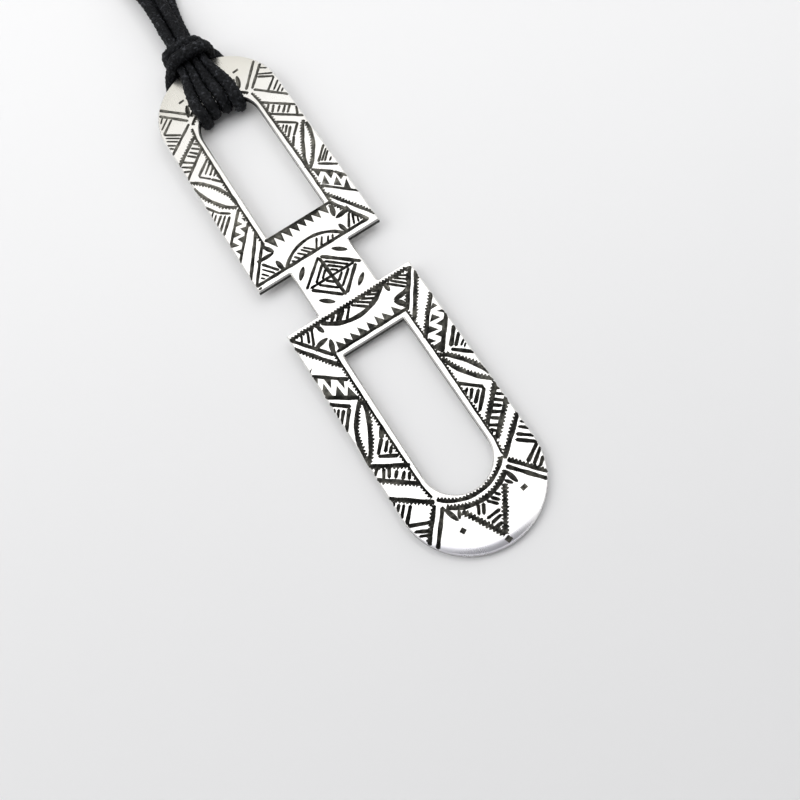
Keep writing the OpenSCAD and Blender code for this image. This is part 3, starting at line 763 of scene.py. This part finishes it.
# Across each bar: the hem, the lens with its hatches, and the row of teeth at the window.
# A bar is named by its end, and told by x and by distance from the short middle line.
HEM = {-1: ((-9.9, 5), (9.1, 4.93), 0.36, 2),  # both ends, width, teeth
       1: ((-9.9, 5.1), (8.8, 5.1), 0.52, 0)}
LENS = {-1: ((-5, 5.1), (0, 7.3), (4.8, 5.1), 0.55),  # three points of its arc, width
        1: ((-4.8, 5.1), (0, 7.45), (4.8, 5.1), 0.5)}
LENS_HATCH_W = 0.35
LENS_HATCHES = {-1: [   # both ends of each
    (-0.4, 5.2, -1.8, 6.9), (-1.4, 5.25, -2.7, 6.5), (-2.05, 5.25, -3.1, 6.3),
    (-2.9, 5.2, -3.8, 5.95), (-0.2, 5.25, 1.75, 6.9), (0.65, 5.2, 2.4, 6.6),
    (1.45, 5.2, 3.2, 6.35), (2.35, 5.1, 3.9, 6.05), (3.2, 5.1, 4.4, 5.7)
], 1: [
    (-1.3, 6.65, 0.05, 5.2), (-1.75, 6.55, -0.7, 5.2), (-2.45, 6.35, -1.4, 5.2),
    (-3.1, 6.1, -2.4, 5.2), (-3.7, 5.75, -3.2, 5.2), (1.15, 6.85, 0.2, 5.2),
    (1.9, 6.6, 1, 5.2), (2.7, 6.15, 2.1, 5.2), (3.35, 6, 2.9, 5.2)]}
WINDOW_TEETH = {        # level and width of their line, how far they lean, their tips
    -1: (10.2, 0.4, 0.48, [
        (-4.7, 8.65), (-3.55, 8.85), (-2.45, 8.75), (-1.2, 8.6), (0.25, 8.7), (1.6, 8.55),
        (2.7, 8.7), (4.25, 8.65)]),
    1: (10.75, 0.5, -0.45, [
        (-4.2, 8.7), (-2.95, 8.9), (-1.6, 8.9), (-0.3, 9.05), (0.9, 9.2), (2.1, 9.15),
        (3.3, 9.15), (4.6, 9.1)])}
WINDOW_LINE = (-5.4, 5.9)
TOOTH_HALF = 0.72       # mm, half of a window tooth's base
# Beside the window's arch: two arcs, the hanging triangle with its strokes, and the leaf
# cuts at the arcs' ends.
ARCH_ARCS = [((-4.9, 35.3), (0, 37.35), (4.9, 35.1), 0.4),
             ((-4.4, 36.85), (0, 38.45), (4.4, 36.85), 0.48)]
ARC_POINTS = 40
TRIANGLE = [(-3, 38.4, -0.15, 43.6), (3.35, 38.3, -0.05, 43.6)]
TRIANGLE_W, STROKE_W = 0.4, 0.38
ARCH_STROKES = [
    (-0.2, 38.8, -1, 40.2), (-0.85, 38.6, -1.55, 39.9), (0.25, 38.8, 1.35, 40.05),
    (0.9, 38.7, 1.8, 39.7), (1.6, 38.5, 2.25, 39.2), (-1, 40.8, 1.15, 40.65),
    (-0.8, 41.6, 0.9, 41.3), (-0.55, 42.3, 0.5, 42.2)]
ARCH_LEAVES = [((-4.85, 36.6), (-4, 39.25), 0.75), ((-3.2, 37.7), (-3.9, 39.1), 0.55),
               ((4.3, 36.6), (4.95, 39.15), 0.75), ((3.5, 37.7), (4.4, 38.85), 0.55)]
for end in (-1, 1):
    def on_end(points):
        return [(x, end * v) for x, v in points]

    *hem, width, teeth = HEM[end]
    line(on_end(hem), width, teeth)
    *lens, width = LENS[end]
    line(on_end(arc(*lens)), width)
    for x0, v0, x1, v1 in LENS_HATCHES[end]:
        line(on_end([(x0, v0), (x1, v1)]), LENS_HATCH_W)
    level, width, lean, tips = WINDOW_TEETH[end]
    line(on_end([(x, level) for x in WINDOW_LINE]), width)
    for x, v in tips:
        chip(*on_end([(x, v), (x + lean - TOOTH_HALF, level), (x + lean + TOOTH_HALF, level)]))
    outward = 1 if end < 0 else -1
    for *points, width in ARCH_ARCS:
        line(on_end(arc(*points, ARC_POINTS)), width, outward)
    for x0, v0, x1, v1 in TRIANGLE:
        line(on_end([(x0, v0), (x1, v1)]), TRIANGLE_W, 2)
    for x0, v0, x1, v1 in ARCH_STROKES:
        line(on_end([(x0, v0), (x1, v1)]), STROKE_W)
    for start, stop, width in ARCH_LEAVES:
        leaf_cut(*on_end([start, stop]), width)

# The punch marks by the tips: x, y, size, turn and flatness. A short stray scratch lies
# by the upper bar's left corner.
PUNCH_MARKS = [(-4.3, -40.45, 0.72, 30, 1), (5.15, -39.95, 0.85, 10, 0.75),
               (-0.1, -44.4, 0.78, 20, 1), (-4.4, 40.15, 0.95, 5, 0.42),
               (5.2, 39.9, 1, 5, 0.42), (0, 44.3, 0.8, 25, 1)]
SCRATCH, SCRATCH_W, SCRATCH_DEPTH = [(-9.8, 4.45), (-9.2, 4.55)], 0.3, 0.1
for mark in PUNCH_MARKS:
    punch(*mark)
line(SCRATCH, SCRATCH_W, depth=SCRATCH_DEPTH)

# On the neck: a square stood on its corner with lines ruled inside it, side by side, two
# lines from corner to corner, and an almond cut off each side.
SQUARE = [(-3.8, 0.3), (-0.1, 3.9), (3.9, 0.1), (0.1, -3.4)]
CENTRE = (0.05, 0.3)
SIDES = [((-4.1, 0.45), (-0.2, 4), 0.36), ((0.05, 3.9), (4.5, -0.2), 0.46),
         ((3.7, 0), (0.3, -3.35), 0.42), ((-0.1, -3.3), (-3.6, 0), 0.4)]
RULED = [(0.72, 0.46), (0.78, 0.56, 0.34), (0.7, 0.42), (0.68, 0.38)]  # sizes, 1 for SQUARE
RULED_W, RULED_OVERRUN = 0.34, -0.1
DIAGONALS = [((-3.6, 0.3), (3.6, 0.25), 0.36), ((-0.2, 3.8), (0.1, -3.5), 0.44)]
ALMONDS = [((-4.3, 2.05), (-2.6, 4.05), 0.8), ((1.85, 4.2), (4, 2.4), 0.75),
           ((-3.65, -1.85), (-1.55, -3.7), 0.75), ((4, -1.75), (2.1, -3.45), 0.75)]
for start, stop, width in SIDES:
    line([start, stop], width)
for a, b, sizes in zip(SQUARE, SQUARE[1:] + SQUARE[:1], RULED):
    for size in sizes:
        ends = [tuple(c + size * (q - c) for c, q in zip(CENTRE, p)) for p in (a, b)]
        line(ends, RULED_W, overrun=RULED_OVERRUN)
for start, stop, width in DIAGONALS:
    line([start, stop], width)
for start, stop, width in ALMONDS:
    leaf_cut(start, stop, width)


def too_near(cut, other):
    """Whether the cutters of two cuts touch, or nearly."""
    reach = cut.reach + other.reach
    low = np.maximum(cut.outline.min(0), other.outline.min(0)) - reach
    high = np.minimum(cut.outline.max(0), other.outline.max(0)) + reach
    if (low > high).any():
        return False
    gaps = np.linalg.norm(cut.outline[:, None, :] - other.outline[None, :, :], axis=2)
    return gaps.min() < reach + KEEP_APART


# Cuts that touch each other are taken in separate passes.
passes = []
for cut in cuts:
    for group in passes:
        if not any(too_near(cut, other) for other in group):
            group.append(cut)
            break
    else:
        passes.append([cut])

# The outer rim is rubbed round by the polishing, most at the lower tip. These are metres,
# as the finishes read places.
ARCH_Y, ARCH_R = 0.0351, 0.01
ROLL_W, ROLL_DROP = 0.0016, 0.00036
BRIGHT, SMUDGED = (0.965, 0.955, 0.93), (0.89, 0.875, 0.84)
# painted reflections: a warm grey for the upper tip and a bluish grey for the rolled rim of the
# lower tip
SHOULDER_PAINTED_REFLECTION, TIP_PAINTED_REFLECTION = (0.815, 0.798, 0.735), (0.84, 0.83, 0.93)

silver = Finish("polished_silver")
place = silver.place()
x, y, _ = silver.split(place)
beyond = (abs(y) - ARCH_Y).at_least(0)
from_rim = ARCH_R - (x * x + beyond * beyond) ** 0.5
roll = (1 - from_rim / ROLL_W).at_least(0)
# the lower tip is rubbed most, and more on its left side; there its rolled rim also gets a painted
# bluish reflection
lower_left = (0 - y).step(0.034, 0.042) * (1 - x.step(-0.001, 0.006) * 0.7)
tip_roll = roll * roll * (lower_left * 0.85 + 0.15)
swell = silver.noise(place, 55, 2)
scuff_place = silver.node(
    "ShaderNodeMapping", {}, {"Vector": place, "Rotation": (0, 0, 0.5), "Scale": (1, 0.05, 1)})
scuff = silver.noise(scuff_place, 5200, 3)
smudge = silver.noise(place, 260, 4)
colour = silver.blend(smudge.step(0.3, 0.8), BRIGHT, SMUDGED)
# painted reflection: the upper tip, from about 34 mm up, is painted a warm grey
colour = silver.blend(y.step(0.034, 0.041) * 0.8, colour, SHOULDER_PAINTED_REFLECTION)
# painted reflection: a bluish grey on the rolled rim of the lower tip, most on its left
colour = silver.blend(roll.step(0, 0.5) * lower_left * 0.6, colour, TIP_PAINTED_REFLECTION)
relief = silver.bump(0 - tip_roll, ROLL_DROP)
relief = silver.bump(swell, 0.0001, 0.3, relief)
relief = silver.bump(scuff, 0.000004, 0.3, relief)
silver.finish_with(
    Base_Color=colour,
    Metallic=1.0,
    Roughness=0.2 + smudge * 0.1 + scuff * 0.06,
    Normal=relief)

# The sawn sides are dark, partly oxide and partly painted shade from the shaded table and room
# that they face; at both tips they are rubbed paler.
SAWN_OXIDE_AND_SHADE, SAWN_RUBBED = (0.03, 0.029, 0.027), (0.6, 0.59, 0.58)

edge = Finish("sawn_edge")
place = edge.place()
_, y, _ = edge.split(place)
saw_marks = edge.noise(
    edge.node("ShaderNodeMapping", {}, {"Vector": place, "Scale": (1, 1, 0.1)}), 4200, 2)
polished_tip = abs(y).step(0.036, 0.043)
edge.finish_with(
    Base_Color=edge.blend(polished_tip * (0.75 + saw_marks * 0.25), SAWN_OXIDE_AND_SHADE, SAWN_RUBBED),
    Metallic=1.0,
    Roughness=0.42 - polished_tip * 0.1,
    Normal=edge.bump(saw_marks, 0.00002, 0.3))

CUT_DARK, CUT_WORN = (0.018, 0.0185, 0.017), (0.24, 0.232, 0.2)

dark_cut = Finish("darkened_cut")
place = dark_cut.place()
grime = dark_cut.noise(place, 1100, 3)
rubbed = dark_cut.noise(place, 220, 2)
_, y, _ = dark_cut.split(place)
# the cuts are lighter from the neck up into the upper arch
lighter_where = y.step(0.008, 0.02) * 0.3
dark_cut.finish_with(
    Base_Color=dark_cut.blend(
        grime.step(0.3, 0.75) * rubbed.step(0.25, 0.7) + lighter_where, CUT_DARK, CUT_WORN),
    Metallic=0.85,
    Roughness=0.42)


MERGE = 0.000001        # m between corners that are one
FLAT = math.radians(0.05)  # faces that turn by less are one flat face


def plate_blank():
    """The sawn and filed sheet, in millimetres, as one closed mesh."""
    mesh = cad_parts["silver_plate"].data.copy()
    work = bmesh.new()
    work.from_mesh(mesh)
    bmesh.ops.remove_doubles(work, verts=work.verts, dist=MERGE)
    bmesh.ops.dissolve_limit(work, angle_limit=FLAT, verts=work.verts, edges=work.edges)
    bmesh.ops.scale(work, vec=(1 / MM,) * 3, verts=work.verts)
    work.to_mesh(mesh)
    work.free()
    mesh.name = "engraved_plate"
    piece = bpy.data.objects.new("engraved_plate", mesh)
    bpy.context.scene.collection.objects.link(piece)
    return piece


def on_face(x, y, z):
    """A place on the leaning face, z above it."""
    along, up = y - LOWER_TIP_Y, z + PLATE_T
    return (x, along * math.cos(LEAN) - up * math.sin(LEAN) + LOWER_TIP_Y,
            along * math.sin(LEAN) + up * math.cos(LEAN))


UPRIGHT = 0.3           # faces whose normal rises less than this are sawn edges

plate = plate_blank()
plate.data.materials.clear()
plate.data.materials.append(silver.material)
plate.data.materials.append(edge.material)
for face in plate.data.polygons:
    face.material_index = 1 if abs(face.normal.z) < UPRIGHT else 0
bpy.context.view_layer.objects.active = plate
for group in passes:
    vertices, faces = [], []
    for cut in group:
        start = len(vertices)
        vertices += [on_face(*v) for v in cut.vertices]
        faces += [tuple(start + i for i in f) for f in cut.faces]
    graver = closed_shape("graver_pass", vertices, faces)
    graver.data.materials.append(dark_cut.material)
    engrave = plate.modifiers.new("engrave", "BOOLEAN")
    engrave.operation, engrave.solver, engrave.object = "DIFFERENCE", "MANIFOLD", graver
    engrave.material_mode = "TRANSFER"
    bpy.ops.object.modifier_apply(modifier="engrave")
    bpy.data.objects.remove(graver)
work = bmesh.new()
work.from_mesh(plate.data)
bmesh.ops.remove_doubles(work, verts=work.verts, dist=WELD)
bmesh.ops.triangulate(work, faces=work.faces)
bmesh.ops.scale(work, vec=(MM,) * 3, verts=work.verts)
work.to_mesh(plate.data)
work.free()
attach(plate, "root")
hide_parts("silver_plate")

# The table and the light
# A matt, nearly white table top, under one large soft light above and pale walls.
TABLE_SIZE = 6          # m, so that no camera sees its edge
TABLE_SHADED, TABLE_LIT = (0.825, 0.825, 0.828), (0.965, 0.965, 0.968)
ROOM_COLOUR, ROOM_STRENGTH = (0.97, 0.975, 1.0, 1), 0.3

bpy.ops.mesh.primitive_plane_add(size=TABLE_SIZE, location=(0, 0, 0))
table_top = bpy.context.object
table_top.name = "table_top"
paint = Finish("pale_table")
place = paint.place()
x, y, _ = paint.split(place)
grain = paint.noise(place, 30, 3)
# paler towards the hitch and to the right
lit_side = (x * 0.5 + y * 0.8).step(-0.08, 0.07) * 0.9 + grain * 0.1
paint.finish_with(
    Base_Color=paint.blend(lit_side, TABLE_SHADED, TABLE_LIT),
    Roughness=0.85)
table_top.data.materials.append(paint.material)

world = bpy.data.worlds.new("pale_room")
bpy.context.scene.world = world
world.use_nodes = True
background = world.node_tree.nodes["Background"]
background.inputs["Color"].default_value = ROOM_COLOUR
background.inputs["Strength"].default_value = ROOM_STRENGTH


def soft_light(name, location, aim, width, height, watts, colour=(1, 1, 1)):
    """A rectangular lamp at a place, turned towards another."""
    bpy.ops.object.light_add(type="AREA", location=location)
    lamp = bpy.context.object
    lamp.name = name
    lamp.data.shape = "RECTANGLE"
    lamp.data.size, lamp.data.size_y = width, height
    lamp.data.energy = watts
    lamp.data.color = colour
    lamp.rotation_euler = (Vector(aim) - Vector(location)).to_track_quat("-Z", "Y").to_euler()


soft_light("overhead", (0.0, 0.09, 0.4), (0, 0.09, 0), 0.6, 0.38, 0.93)
soft_light("back_wall", (0.0, 0.52, 0.40), (0, 0.03, 0.0), 0.7, 0.5, 0.6, (1, 0.98, 0.93))
soft_light("left_wall", (-0.42, 0.16, 0.36), (0, 0.05, 0), 0.4, 0.4, 0.85)
soft_light("right_wall", (0.5, 0.08, 0.42), (0, 0.03, 0), 0.6, 0.6, 0.85)

bpy.context.scene.view_settings.view_transform = "Standard"
